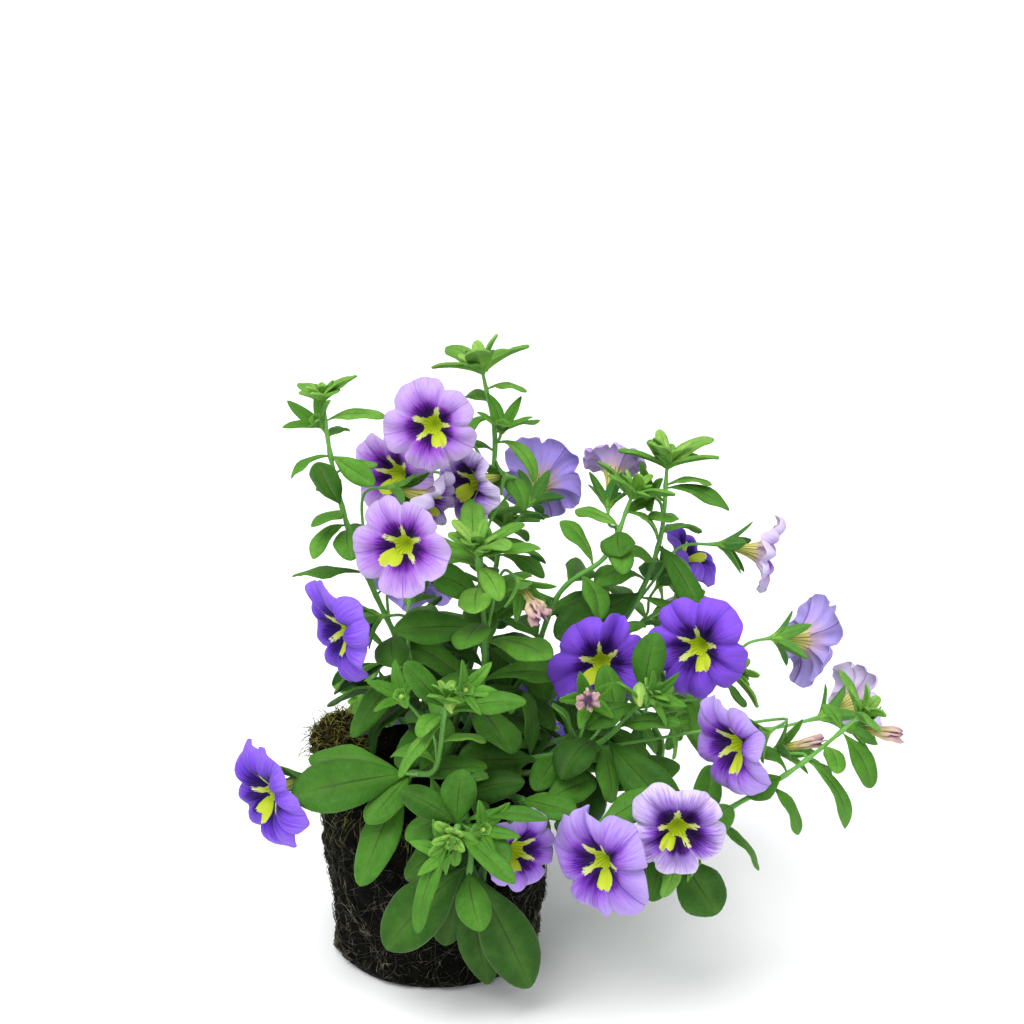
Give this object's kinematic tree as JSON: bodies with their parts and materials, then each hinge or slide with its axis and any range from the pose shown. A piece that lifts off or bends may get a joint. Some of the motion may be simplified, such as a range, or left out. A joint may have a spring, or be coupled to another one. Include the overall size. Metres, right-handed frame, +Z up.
{
  "type": "calibrachoa plant",
  "caption": "Bushy young calibrachoa with violet trumpet flowers and spoon-shaped leaves, standing on its bare tapered root ball, ready to plant in a balcony box or basket.",
  "frame": {"origin": "centre of the root ball's flat underside", "axes": "+Z up along the root ball's axis, -Y towards the side that most flowers face, +X towards the longest trailing stem"},
  "size_m": [0.263, 0.235, 0.2459],
  "materials": {
    "soil": "matte",
    "moss": "matte",
    "foliage": "satin",
    "petals": "satin",
    "withered": "matte"
  },
  "bodies": {
    "root": {"root_ball": "soil", "moss": "moss", "stem_centre_tall": "foliage", "stem_centre": "foliage", "stem_left_tall": "foliage", "stem_right_tall": "foliage", "stem_right_arch": "foliage", "stem_left_low": "foliage", "stem_front": "foliage", "stem_front_low": "foliage", "stem_right_shoot": "foliage", "stem_right_trail": "foliage", "stem_right_mid": "foliage", "stem_back_mid": "foliage", "stem_back_right": "foliage", "stem_back_left": "foliage", "stem_back_low_right": "foliage", "stem_back_low": "foliage", "stem_front_right": "foliage", "flower_01": "petals", "flower_02": "petals", "flower_03": "petals", "flower_04": "petals", "flower_05": "petals", "flower_06": "petals", "flower_07": "petals", "flower_08": "petals", "flower_09": "petals", "flower_10": "petals", "flower_11": "petals", "flower_12": "petals", "flower_13": "petals", "flower_14": "petals", "flower_15": "petals", "flower_16": "petals", "flower_17": "petals", "flower_18": "petals", "flower_19": "petals", "flower_20": "petals", "flower_21": "petals", "flower_22": "petals", "flower_23": "petals", "flower_24": "petals", "spent_01": "withered", "spent_02": "withered", "spent_03": "withered", "spent_04": "withered"}
  },
  "joints": []
}
